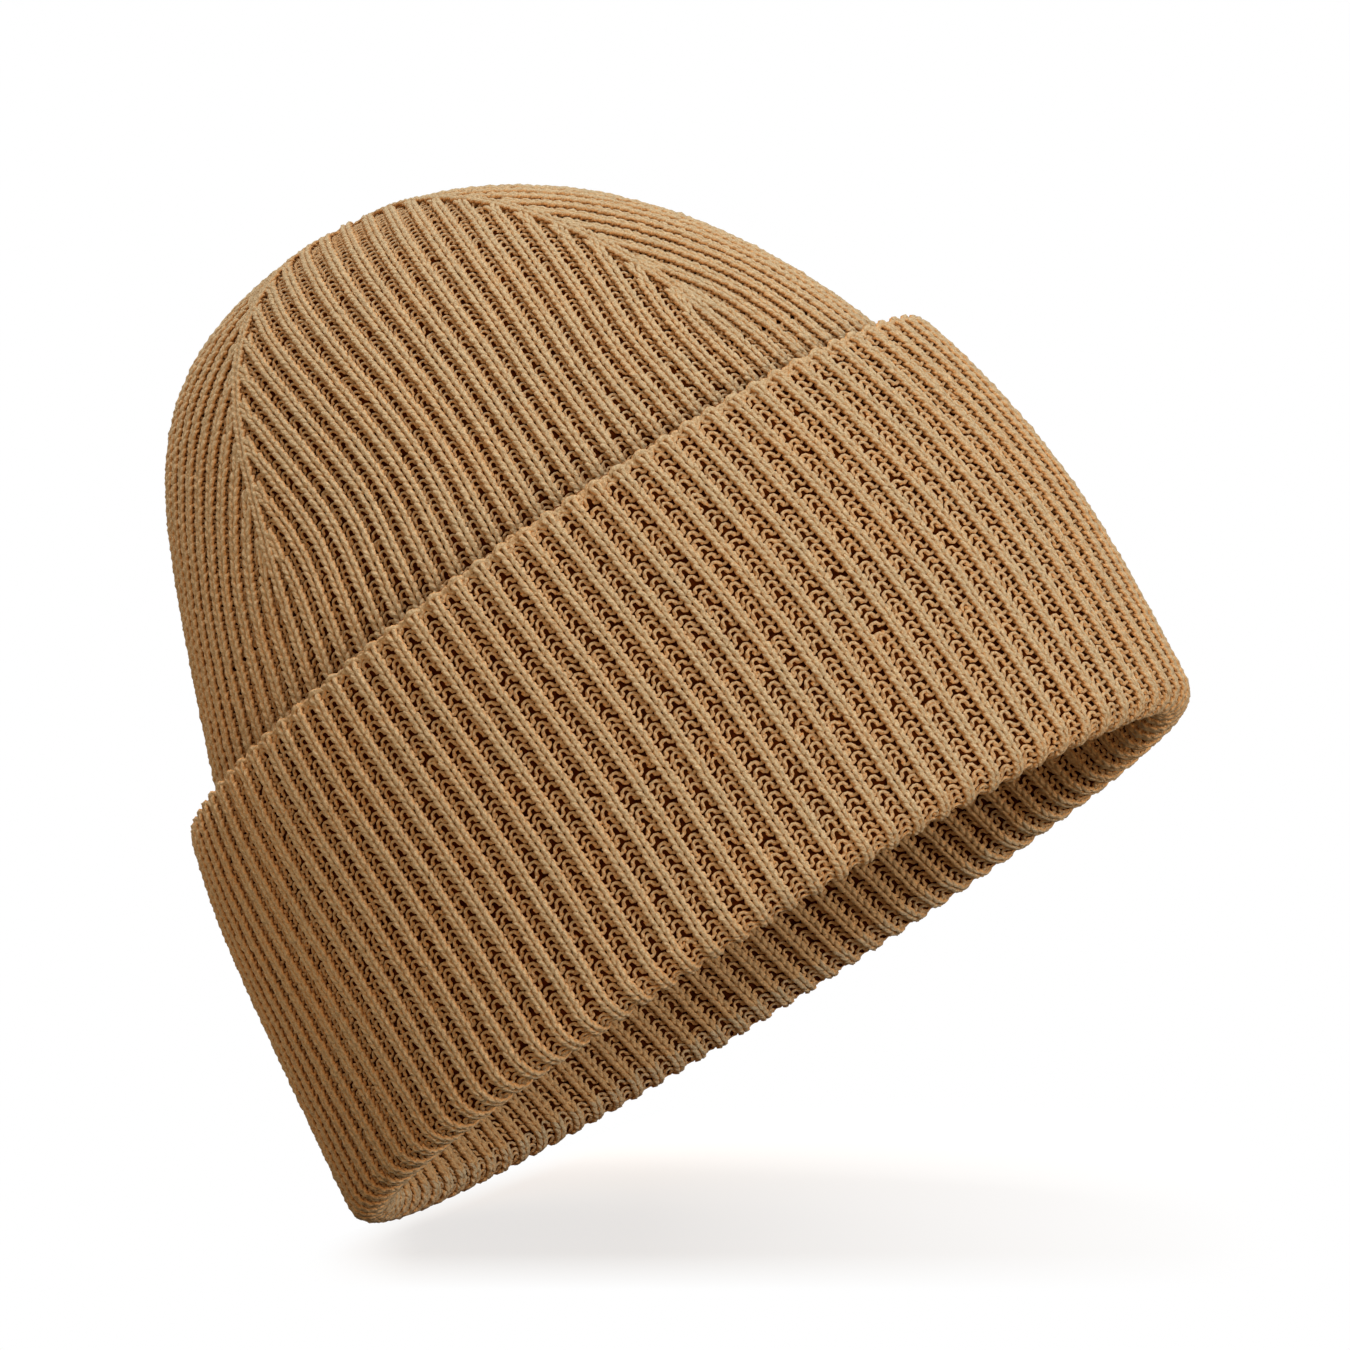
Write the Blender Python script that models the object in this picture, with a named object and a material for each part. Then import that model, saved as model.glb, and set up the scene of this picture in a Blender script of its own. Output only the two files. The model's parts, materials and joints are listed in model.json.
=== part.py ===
# Rib-knit cuffed beanie. Metres, +Z up, standing on the fold of its turn-up at z = 0.
# -X is the wearer's front, +X the back of the head, -Y the wearer's left.

import math

import bmesh
import bpy
import numpy as np

# Outside of the head part, measured from the crown's centre line
CROWN_HEIGHT = 0.187
FRONT_RIM_REACH = 0.0980
BACK_RIM_REACH = 0.0990
SIDE_RIM_REACH = 0.0760
FRONT_TAPER = 0.114
BACK_TAPER = -0.081
SIDE_TAPER = 0.030
FRONT_TURN_HEIGHT = 0.0805
BACK_TURN_HEIGHT = 0.0390
SIDE_TURN_HEIGHT = 0.0750
FRONT_LEAN = 0.376
BACK_LEAN = 0.0
SIDE_LEAN = 0.120
FRONT_ROUNDNESS = 8.2
BACK_ROUNDNESS = 2.1
SIDE_ROUNDNESS = 2.6
FRONT_FULLNESS = 2.4
BACK_FULLNESS = 2.0
SIDE_FULLNESS = 2.2
TURN_BLEND = 0.009

# Knitted fabric
FABRIC = 0.0042
RIB_DEPTH = 0.0013
RIBS = 96
BACK_STRETCH = 0.10

# Turn-up
FOLD_HEIGHT = 0.012
REST_FLAT_DEPTH = 0.0005
LAYER_GAP = 0.0036
CUFF_DEPTH = 0.0959
CUFF_BACK_RISE = 0.0049
CUFF_TWIST = 0.0090
HEM_HEIGHT = 0.0036
HEM_SHOULDER = 0.0014
HEM_INSET = 0.0006

# Crown and seams
CROWN_BASE = 0.125
CROWN_EASE = 0.020
CROWN_SET_BACK = 0.0070
DART_WIDTH = 0.0052
DART_CORE = 0.0021
TIE_RADIUS = 0.0095
SEAM_WIDTH = 0.0026
SEAM_RIDGE = 0.0012
CLEARANCE = 0.0003

# Share of the way round, from +X towards +Y, of the seam and of each crown dart
SEAM_SHARE = 9 / 64
DARTS = {"back_right": 9 / 64, "front_right": 25 / 64, "front_left": 41 / 64, "back_left": 57 / 64}
GORES = {"back": 1 / 64, "right": 17 / 64, "front": 33 / 64, "left": 49 / 64}
FULL_TURN = 2 * math.pi
DIAGONAL = math.pi / 4

# Mesh density
HALF_RIBS = 2 * RIBS
WALL_ROWS = 4
GORE_ROWS = 8
TIE_ROWS = 4
TIE_COLUMNS = 24
FOLD_ARC_STEPS = 3
RING_SAMPLES = 721
SLOPE_SAMPLES = 2000
HALVINGS = 44
DIFFERENCE = 1e-5
MERGE_DISTANCE = 1e-6

# Finish, as linear colour
YARN_COLOUR = (0.445, 0.262, 0.118, 1.0)
SEAM_COLOUR = (0.395, 0.228, 0.100, 1.0)
YARN_ROUGHNESS = 0.92
SMOOTH_ANGLE = math.radians(70)


def reach(height, rim, taper, turn, lean, roundness, fullness):
    """Outline of one side: a tapered wall, a softened turn and a rounded crown."""
    bend = TURN_BLEND * np.logaddexp(0, (height - turn) / TURN_BLEND)
    wall = rim - taper * height - (lean - taper) * bend
    rise = np.clip((height - turn) / (CROWN_HEIGHT - turn), 0, 1)
    return wall * (1 - rise**roundness) ** (1 / fullness)


def section(height, at_back):
    """Half length, towards the back or the front, and half width of a level section."""
    front = reach(height, FRONT_RIM_REACH, FRONT_TAPER, FRONT_TURN_HEIGHT, FRONT_LEAN,
                  FRONT_ROUNDNESS, FRONT_FULLNESS)
    back = reach(height, BACK_RIM_REACH, BACK_TAPER, BACK_TURN_HEIGHT, BACK_LEAN,
                 BACK_ROUNDNESS, BACK_FULLNESS)
    side = reach(height, SIDE_RIM_REACH, SIDE_TAPER, SIDE_TURN_HEIGHT, SIDE_LEAN,
                 SIDE_ROUNDNESS, SIDE_FULLNESS)
    return np.where(at_back, back, front), side


def skin(height, angle, offset=0.0):
    """Point of the head part's outside, moved out by offset; angle is the section's own."""
    height, angle, offset = np.broadcast_arrays(height, angle, offset)
    along, side = section(height, np.cos(angle) > 0)
    x = (along + offset) * np.cos(angle)
    y = (side + offset) * np.sin(angle)
    return np.stack([x, y, height + 0 * x], axis=-1)


def outward(height, angle):
    """Unit normal of the head part's outside, straight up at the crown's centre."""
    low = np.minimum(height, CROWN_HEIGHT - 2 * DIFFERENCE) - DIFFERENCE
    across = skin(low, angle + DIFFERENCE) - skin(low, angle - DIFFERENCE)
    upward = skin(low + 2 * DIFFERENCE, angle) - skin(low, angle)
    normal = np.cross(across, upward)
    normal /= np.linalg.norm(normal, axis=-1, keepdims=True)
    at_centre = np.broadcast_to(height, angle.shape) > CROWN_HEIGHT - 2 * DIFFERENCE
    normal[at_centre] = (0.0, 0.0, 1.0)
    # Level where the crown meets the band, so that their edges lie face to face
    normal[..., 2] *= np.clip((height - CROWN_BASE) / CROWN_EASE, 0, 1)
    return normal / np.linalg.norm(normal, axis=-1, keepdims=True)


def ring(height):
    """Section angles and the distance round the section to each."""
    angle = np.linspace(0, FULL_TURN, RING_SAMPLES)
    steps = np.linalg.norm(np.diff(skin(height, angle), axis=0), axis=1)
    return angle, np.concatenate([[0.0], np.cumsum(steps)])


def perimeter(height):
    return ring(height)[1][-1]


def angle_at(height, share):
    """Section angle at a share of the way round."""
    angle, distance = ring(height)
    turns = np.floor(share)
    found = np.interp((share - turns) * distance[-1], distance, angle)
    return found + turns * FULL_TURN


def rib_shares(height, twist=0.0, turned=False):
    """Share of the way round of each half rib from one side of the seam to the other."""
    plain = SEAM_SHARE + np.arange(HALF_RIBS + 1) / HALF_RIBS
    easing = 1.0 if turned else np.clip((CROWN_BASE - height) / (CROWN_BASE - FOLD_HEIGHT), 0, 1)
    swing = np.sin(FULL_TURN * plain) - math.sin(FULL_TURN * SEAM_SHARE)
    swell = BACK_STRETCH * easing * swing / FULL_TURN
    lean = twist * height / CUFF_DEPTH / perimeter(height)
    return plain + swell - lean


def cuff_top(angle):
    return CUFF_DEPTH + CUFF_BACK_RISE * np.cos(angle)


def set_back(height, angle):
    """Height and angle of a crown point once the crown's centre has moved towards the back."""
    point = skin(height, angle)
    drawn_in = max(0.0, 1 - perimeter(height) / perimeter(CROWN_BASE))
    x = point[..., 0] + CROWN_SET_BACK * drawn_in
    y = point[..., 1]
    low = np.full(x.shape, BACK_TURN_HEIGHT)
    high = np.full(x.shape, CROWN_HEIGHT)
    for _ in range(HALVINGS):
        middle = (low + high) / 2
        along, side = section(middle, x > 0)
        inside = np.hypot(x / along, y / side) < 1
        low = np.where(inside, middle, low)
        high = np.where(inside, high, middle)
    along, side = section(low, x > 0)
    return low, np.arctan2(y / side, x / along)


def meridian_heights(low, high, count):
    """Heights from low to high, evenly spaced along the crown's slope."""
    fine = high - (high - low) * np.linspace(1, 0, SLOPE_SAMPLES) ** 2
    slope = skin(fine, DIAGONAL)
    steps = np.linalg.norm(np.diff(slope, axis=0), axis=1)
    travelled = np.concatenate([[0.0], np.cumsum(steps)])
    return np.interp(np.linspace(0, travelled[-1], count), travelled, fine)


def tie_height():
    """Height at which the crown has drawn in to the tie's radius."""
    fine = np.linspace(CROWN_BASE, CROWN_HEIGHT, SLOPE_SAMPLES)
    radius = np.linalg.norm(skin(fine, DIAGONAL)[:, :2], axis=1)
    return float(np.interp(-TIE_RADIUS, -radius, fine))


def corrugation(count, first_valley=False):
    """Ribs stand out and valleys lie back, on both faces of the fabric alike."""
    return np.where((np.arange(count) + first_valley) % 2 == 0, 0.0, -RIB_DEPTH)


def yarn_material(name, colour):
    material = bpy.data.materials.new(name)
    material.use_nodes = True
    shader = material.node_tree.nodes["Principled BSDF"]
    shader.inputs["Base Color"].default_value = colour
    shader.inputs["Roughness"].default_value = YARN_ROUGHNESS
    shader.inputs["Metallic"].default_value = 0.0
    material.diffuse_color = colour
    return material


def add_solid(name, grid, wrap_rows, wrap_columns, colour=YARN_COLOUR):
    """Closed solid from a grid of points whose rows go round its section."""
    rows, columns = grid.shape[:2]
    work = bmesh.new()
    points = [[work.verts.new(point) for point in row] for row in grid]
    for r in range(rows if wrap_rows else rows - 1):
        for c in range(columns if wrap_columns else columns - 1):
            above = (r + 1) % rows
            beside = (c + 1) % columns
            corners = (points[r][c], points[r][beside], points[above][beside], points[above][c])
            work.faces.new(corners)
    if not wrap_columns:
        work.faces.new([row[0] for row in points])
        work.faces.new([row[-1] for row in points])
    bmesh.ops.remove_doubles(work, verts=work.verts, dist=MERGE_DISTANCE)
    bmesh.ops.recalc_face_normals(work, faces=work.faces)
    bmesh.ops.triangulate(work, faces=work.faces)
    mesh = bpy.data.meshes.new(name)
    work.to_mesh(mesh)
    work.free()
    mesh.shade_smooth()
    mesh.set_sharp_from_angle(angle=SMOOTH_ANGLE)
    mesh.materials.append(yarn_material(name, colour))
    solid = bpy.data.objects.new(name, mesh)
    bpy.context.scene.collection.objects.link(solid)
    return solid


def add_shell(name, outer, inner, colour=YARN_COLOUR, wrap_columns=False):
    """Fabric between an outer and an inner face with matching points."""
    return add_solid(name, np.concatenate([outer, inner[::-1]]), True, wrap_columns, colour)


def add_wall(name, bottom, top, offset, twist, turned):
    """Ring of ribbed fabric, open at the seam, between two heights given per angle."""
    outer = []
    inner = []
    ribs = corrugation(HALF_RIBS + 1, turned)
    open_by = SEAM_WIDTH / 2 + CLEARANCE
    for step in np.linspace(0, 1, WALL_ROWS):
        level = bottom + (float(top(0.0)) - bottom) * step
        shares = rib_shares(level, twist, turned)
        shares[0] += open_by / perimeter(level)
        shares[-1] -= open_by / perimeter(level)
        angles = angle_at(level, shares)
        heights = bottom + (top(angles) - bottom) * step
        outer.append(skin(heights, angles, offset + ribs))
        inner.append(skin(heights, angles, offset + ribs - (FABRIC - RIB_DEPTH)))
    return add_shell(name, np.array(outer), np.array(inner))


def add_seam(name, bottom, top, offset, twist, ridge):
    """Linked seam that closes a wall: a strip with a sunk middle and a ridge behind it."""
    outer = []
    inner = []
    across = np.array([-SEAM_WIDTH, 0.0, SEAM_WIDTH]) / 2
    face = np.array([-RIB_DEPTH / 2, -RIB_DEPTH, -RIB_DEPTH / 2])
    back = np.array([-FABRIC, -FABRIC - ridge, -FABRIC])
    for step in np.linspace(0, 1, WALL_ROWS):
        level = bottom + (float(top(0.0)) - bottom) * step
        shares = rib_shares(level, twist)[0] + across / perimeter(level)
        angles = angle_at(level, shares)
        heights = bottom + (top(angles) - bottom) * step
        outer.append(skin(heights, angles, offset + face))
        inner.append(skin(heights, angles, offset + back))
    return add_shell(name, np.array(outer), np.array(inner), SEAM_COLOUR)


def add_fold():
    """Bottom of the turn-up: the fabric comes down, rolls under and goes up again outside."""
    inside = -FABRIC
    outside = LAYER_GAP + FABRIC
    middle = (inside + outside) / 2
    roll = (outside - inside) / 2
    centre = roll - REST_FLAT_DEPTH
    flat = math.acos(centre / roll)
    quarter = FULL_TURN / 4
    profile = [(inside, FOLD_HEIGHT, 1)]
    inner_turns = np.linspace(-quarter, -flat, FOLD_ARC_STEPS)
    outer_turns = np.linspace(flat, quarter, FOLD_ARC_STEPS)
    for turn in np.concatenate([inner_turns, outer_turns]):
        offset = middle + roll * math.sin(turn)
        height = centre - roll * math.cos(turn)
        profile.append((offset, height, abs(turn) / quarter))
    profile.append((outside, FOLD_HEIGHT, 1))
    profile.append((outside - FABRIC + RIB_DEPTH, FOLD_HEIGHT, 1))
    profile.append((middle, FABRIC, 0))
    profile.append((inside + FABRIC - RIB_DEPTH, FOLD_HEIGHT, 1))
    # Turned over, the fabric's valleys become ribs
    ribs = corrugation(HALF_RIBS, True)
    lifted = corrugation(HALF_RIBS) + RIB_DEPTH
    grid = []
    for offset, height, ribbed in profile:
        shares = rib_shares(height)[:-1]
        wave = lifted if offset < middle else ribs
        on_flat = abs(height) < MERGE_DISTANCE
        shift = 0 * ribs if on_flat else wave * ribbed
        level = 0.0 if on_flat else height
        grid.append(skin(level, angle_at(height, shares), offset + shift))
    return add_solid("turn_up_fold", np.array(grid), True, True)


def add_hem():
    """Cast-on edge along the top of the turn-up, thinner than the ribs below it."""
    outside = LAYER_GAP + FABRIC - HEM_INSET
    inside = LAYER_GAP + RIB_DEPTH
    angles = angle_at(CUFF_DEPTH, np.arange(RIBS) / RIBS)
    top = cuff_top(angles)
    bottom = top - HEM_HEIGHT
    shoulder = top - HEM_SHOULDER
    middle = (inside + outside) / 2
    profile = [(outside, bottom), (outside, shoulder), (middle, top), (inside, shoulder), (inside, bottom)]
    grid = np.array([skin(height, angles, offset) for offset, height in profile])
    return add_solid("cuff_hem", grid, True, True)


def add_gore(name, centre, heights):
    """Crown section whose ribs keep their spacing and run out on the darts at its edges."""
    outer = []
    inner = []
    half_ribs = HALF_RIBS // len(GORES) // 2
    steps = np.arange(-half_ribs, half_ribs + 1)
    pitch = perimeter(CROWN_BASE) / HALF_RIBS
    for height in heights:
        around = perimeter(height)
        edge = around / len(GORES) / 2 - DART_WIDTH / 2 - CLEARANCE
        across = np.clip(steps * pitch, -edge, edge)
        angles = angle_at(height, centre + across / around)
        ribs = np.where(np.abs(across) < edge, corrugation(len(steps)), 0.0)
        levels, angles = set_back(height, angles)
        normal = outward(levels, angles)
        face = skin(levels, angles)
        outer.append(face + normal * ribs[:, None])
        inner.append(face + normal * np.where(ribs < 0, -FABRIC, RIB_DEPTH - FABRIC)[:, None])
    return add_shell("crown_gore_" + name, np.array(outer), np.array(inner))


def add_dart(name, share, heights):
    """Plain wales that run up between two crown sections."""
    outer = []
    inner = []
    across = np.array([-DART_WIDTH, -DART_CORE, DART_CORE, DART_WIDTH]) / 2
    ribs = np.array([-RIB_DEPTH, 0.0, 0.0, -RIB_DEPTH]) / 2
    for height in heights:
        angles = angle_at(height, share + across / perimeter(height))
        levels, angles = set_back(height, angles)
        normal = outward(levels, angles)
        face = skin(levels, angles)
        outer.append(face + normal * ribs[:, None])
        inner.append(face - normal * FABRIC)
    return add_shell("crown_dart_" + name, np.array(outer), np.array(inner), SEAM_COLOUR)


def add_tie(low):
    """Drawn-in centre of the crown, where the sections and darts end."""
    outer = []
    inner = []
    for height in meridian_heights(low, CROWN_HEIGHT, TIE_ROWS):
        angles = angle_at(min(height, low), np.arange(TIE_COLUMNS) / TIE_COLUMNS)
        levels, angles = set_back(height, angles)
        normal = outward(levels, angles)
        face = skin(levels, angles)
        outer.append(face)
        inner.append(face - normal * FABRIC)
    return add_shell("crown_tie", np.array(outer), np.array(inner), SEAM_COLOUR, True)


def build():
    above_fold = FOLD_HEIGHT + CLEARANCE
    crown_edge = CROWN_BASE - CLEARANCE
    add_fold()
    add_wall("head_band", above_fold, lambda angle: crown_edge + 0 * angle, 0.0, 0.0, False)
    add_seam("back_seam", above_fold, lambda angle: crown_edge + 0 * angle, 0.0, 0.0, SEAM_RIDGE)

    def cuff_edge(angle):
        return cuff_top(angle) - HEM_HEIGHT - CLEARANCE

    cuff_offset = LAYER_GAP + FABRIC
    add_wall("cuff_band", above_fold, cuff_edge, cuff_offset, CUFF_TWIST, True)
    add_seam("cuff_back_seam", above_fold, cuff_edge, cuff_offset, CUFF_TWIST, 0.0)
    add_hem()

    tie = tie_height()
    slope = np.diff(skin(np.array([tie, tie + DIFFERENCE]), DIAGONAL), axis=0)
    drop = CLEARANCE * DIFFERENCE / float(np.linalg.norm(slope))
    heights = meridian_heights(CROWN_BASE, tie - drop, GORE_ROWS)
    for name, centre in GORES.items():
        add_gore(name, centre, heights)
    for name, share in DARTS.items():
        add_dart(name, share, heights)
    add_tie(tie)


def centre_on_origin():
    """Hangs every piece on one empty, so that the middle of the hat's length is at x = 0."""
    solids = list(bpy.context.scene.collection.objects)
    along = [vertex.co.x for solid in solids for vertex in solid.data.vertices]
    hat = bpy.data.objects.new("beanie", None)
    bpy.context.scene.collection.objects.link(hat)
    hat.location.x = -(min(along) + max(along)) / 2
    for solid in solids:
        solid.parent = hat


for item in list(bpy.data.objects):
    bpy.data.objects.remove(item, do_unlink=True)
build()
centre_on_origin()
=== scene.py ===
import json
import math

import bpy
import numpy as np
from mathutils import Matrix, Vector

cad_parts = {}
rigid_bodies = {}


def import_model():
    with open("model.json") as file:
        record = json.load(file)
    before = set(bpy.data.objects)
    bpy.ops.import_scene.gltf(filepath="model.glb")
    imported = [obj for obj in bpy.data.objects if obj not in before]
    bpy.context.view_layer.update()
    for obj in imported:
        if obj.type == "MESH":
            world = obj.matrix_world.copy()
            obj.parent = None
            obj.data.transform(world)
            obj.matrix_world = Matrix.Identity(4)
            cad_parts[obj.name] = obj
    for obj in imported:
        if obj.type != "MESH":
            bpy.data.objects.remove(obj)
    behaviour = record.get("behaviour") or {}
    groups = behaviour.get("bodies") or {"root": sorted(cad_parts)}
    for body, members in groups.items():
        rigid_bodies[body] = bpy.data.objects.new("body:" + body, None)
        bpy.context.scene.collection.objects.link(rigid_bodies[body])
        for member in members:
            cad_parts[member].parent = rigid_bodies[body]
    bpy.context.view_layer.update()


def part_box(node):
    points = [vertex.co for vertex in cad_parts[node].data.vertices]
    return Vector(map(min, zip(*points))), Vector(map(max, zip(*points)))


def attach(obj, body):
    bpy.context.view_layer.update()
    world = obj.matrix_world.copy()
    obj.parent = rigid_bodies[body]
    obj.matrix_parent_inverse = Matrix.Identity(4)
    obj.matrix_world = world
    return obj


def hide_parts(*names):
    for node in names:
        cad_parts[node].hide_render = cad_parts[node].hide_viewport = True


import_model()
fullTurn = 2 * math.pi
draws = np.random.default_rng(7)

# outside of the head part, in metres from the crown's centre line; each side reaches rim at the bottom,
# draws in by taper up to turn and by lean above it, and roundness and fullness close it at the top
hatForm = {
    "crownHeight": 0.187,
    "crownBase": 0.113,
    "setBack": 0.0070,
    "turnBlend": 0.009,
    "below": 0.05,  # the search for the crown's height starts here
    "halvings": 40,
    "front": {
        "rim": 0.0980, "taper": 0.114, "turn": 0.0805, "lean": 0.376, "roundness": 8.2, "fullness": 2.4,
    },
    "back": {
        "rim": 0.0990, "taper": -0.081, "turn": 0.0390, "lean": 0.0, "roundness": 2.1, "fullness": 2.0,
    },
    "side": {
        "rim": 0.0760, "taper": 0.030, "turn": 0.0750, "lean": 0.120, "roundness": 2.6, "fullness": 2.2,
    },
}

# the knitted fabric: a wale is one column of loops, a course one row
fabric = {
    "wales": 192,
    "thick": 0.0042,
    "course": 0.0019,
    "seamShare": 9 / 64,
    "backStretch": 0.10,
    "yarnRadius": 0.00053,
    "gridStep": 0.5,
}

# the cuff, turned up outside the head
turnUp = {
    "layerGap": 0.0036,
    "restFlat": 0.0005,
    "depth": 0.0959,
    "backRise": 0.0049,
    "twist": 0.0090,
    "easeFoot": 0.012,  # the back is stretched up to here, and eases off up to easeTop
    "easeTop": 0.098,
    "cuffCourses": 47,
    "foldCourses": 8,
    "headCourses": 57,
    "outerFrom": 90,  # first course that shows its outer face
    "foldFlatten": 0.55,
    "foldReach": 3,  # courses over which the fold flattens the loops
    "insideLean": 0.32,  # lean of the ribs inside, up to leanTop
    "leanTop": 0.035,
}

# one stitch, in metres, with lift in courses
stitch = {
    "legs": (0.00117, -0.180),  # from its middle to a leg, and how that changes with the wale's width
    "legLimit": 0.32,  # share of the wale's width that this may take
    "slant": 0.00022,
    "purlLegs": 0.00088,
    "purlSlant": 0.00004,
    "purlFront": 0.00020,  # a purl loop arches in front of the fabric and its legs dip behind
    "purlBack": 0.00110,
    "purlDip": (1.70, 0.42),  # where round the loop they dip, and how far along it
    "purlThin": (0.22, 198.0),  # share of the yarn's thickness, and how that grows with the wale's width
    "lift": 0.92,
    "depths": (0.00088, -0.00074, -0.00020, -0.00014),  # waves that add up to the bow of a knit loop
    "plump": 0.18,
    "samples": 12,
    "sides": 6,
    "looseness": 0.045,
    "sideways": 0.7,
    "purlLooseness": 2.4,
    "fluff": 0.12,
    "offFabric": 0.0005,  # from this height on only the outer face of the yarn is painted light and its inner face painted shade
    # yarn standing this far off the middle of the fabric is painted a whole step lighter
    "fullyLitHeight": 0.0048,
}


def reach(height, side):
    form = hatForm[side]
    bend = hatForm["turnBlend"] * np.logaddexp(0, (height - form["turn"]) / hatForm["turnBlend"])
    wall = form["rim"] - form["taper"] * height - (form["lean"] - form["taper"]) * bend
    rise = np.clip((height - form["turn"]) / (hatForm["crownHeight"] - form["turn"]), 0, 1)
    return wall * (1 - rise ** form["roundness"]) ** (1 / form["fullness"])


def skin(height, angle, offset=0.0):
    height, angle, offset = np.broadcast_arrays(height, angle, offset)
    along = np.where(np.cos(angle) > 0, reach(height, "back"), reach(height, "front"))
    x = axisX + (along + offset) * np.cos(angle)
    y = (reach(height, "side") + offset) * np.sin(angle)
    return np.stack([x, y, height + 0 * x], axis=-1)


# the crown's centre line lies a little off the middle of the box
axisX = 0.0
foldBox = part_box("turn_up_fold")
foldBack = float(reach(foldBox[1].z, "back")) + turnUp["layerGap"] + fabric["thick"]
axisX = foldBox[1].x - foldBack
print("frame loaded, centre line at x =", round(axisX * 1000, 2), "mm")

ringAngles = np.linspace(0, fullTurn, 721)


def angleAt(level, share):
    ring = skin(level, ringAngles)
    steps = np.linalg.norm(np.diff(ring, axis=0), axis=1)
    distance = np.concatenate([[0.0], np.cumsum(steps)])
    turns = np.floor(share)
    return np.interp((share - turns) * distance[-1], distance, ringAngles) + turns * fullTurn


def perimeter(level):
    return np.linalg.norm(np.diff(skin(level, ringAngles), axis=0), axis=1).sum()


def smooth(share):
    share = np.clip(share, 0, 1)
    return share * share * (3 - 2 * share)


# where each wale lies round the hat at one height
def waleShares(wales, level, turned, rolled=1.0):
    plain = fabric["seamShare"] + wales / fabric["wales"]
    top = turnUp["easeTop"]
    easing = 1.0 if turned else smooth((top - level) / (top - turnUp["easeFoot"]))
    swing = np.sin(fullTurn * plain) - math.sin(fullTurn * fabric["seamShare"])
    outside = -turnUp["twist"] * level / turnUp["depth"]
    leanTop = turnUp["leanTop"]
    inside = turnUp["insideLean"] * level / (1 + (level / leanTop) ** 4) ** 0.25
    inside = inside * (1 - smooth((level - leanTop) / (top - leanTop)))
    lean = outside if turned else outside * (1 - rolled) + inside * rolled
    return plain + fabric["backStretch"] * easing * swing / fullTurn + lean / perimeter(level)


def unit(vectors):
    return vectors / np.maximum(np.linalg.norm(vectors, axis=-1, keepdims=True), 1e-12)


# middle of the fabric from the cuff's top edge, down, round the fold and up to the crown
def bandGrid():
    step = fabric["gridStep"]
    half = fabric["thick"] / 2
    bend = turnUp["layerGap"] / 2 + half
    foldCentre = bend + half - turnUp["restFlat"]
    foldStart = turnUp["cuffCourses"]
    headStart = foldStart + turnUp["foldCourses"]
    crownStart = headStart + turnUp["headCourses"]
    rows = np.arange(-2, crownStart + 4, step)
    wales = np.arange(-2, fabric["wales"] + 2 + step, step)
    headStep = (hatForm["crownBase"] - foldCentre) / turnUp["headCourses"]
    points = []
    for row in rows:
        if row < foldStart:
            share = 1 - row / foldStart
            level = foldCentre + (turnUp["depth"] + turnUp["backRise"] - foldCentre) * share
            angles = angleAt(level, waleShares(wales, level, True))
            top = turnUp["depth"] + turnUp["backRise"] * np.cos(angles)
            heights = foldCentre + (top - foldCentre) * share
            points.append(skin(heights, angles, turnUp["layerGap"] + half))
        elif row < headStart:
            turn = math.pi * (row - foldStart) / turnUp["foldCourses"]
            level = foldCentre - bend * math.sin(turn)
            angles = angleAt(level, waleShares(wales, level, False, turn / math.pi))
            points.append(skin(level, angles, turnUp["layerGap"] / 2 + bend * math.cos(turn)))
        else:
            level = foldCentre + (row - headStart) * headStep
            angles = angleAt(level, waleShares(wales, level, False))
            slope = (skin(level + 1e-4, angles) - skin(level, angles)) / 1e-4
            tilt = np.sqrt(1 + slope[:, 0] ** 2 + slope[:, 1] ** 2)
            points.append(skin(level, angles, -half * tilt))
    points = np.array(points)
    across = np.gradient(points, axis=1)
    upward = np.gradient(points, axis=0)
    return {
        "points": points,
        "normals": unit(np.cross(across, upward)),
        "widths": np.linalg.norm(across, axis=2, keepdims=True) / step,
        "firstRow": rows[0],
        "firstWale": wales[0],
        "crownStart": crownStart,
        "foldMiddle": foldStart + turnUp["foldCourses"] / 2,
    }


# height of the outside above a point of the plan
def heightOver(x, y):
    low = np.full(x.shape, hatForm["below"])
    high = np.full(x.shape, hatForm["crownHeight"])
    for halving in range(hatForm["halvings"]):
        middle = (low + high) / 2
        along = np.where(x > 0, reach(middle, "back"), reach(middle, "front"))
        inside = np.hypot(x / along, y / reach(middle, "side")) < 1
        low = np.where(inside, middle, low)
        high = np.where(inside, high, middle)
    return low


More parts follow.
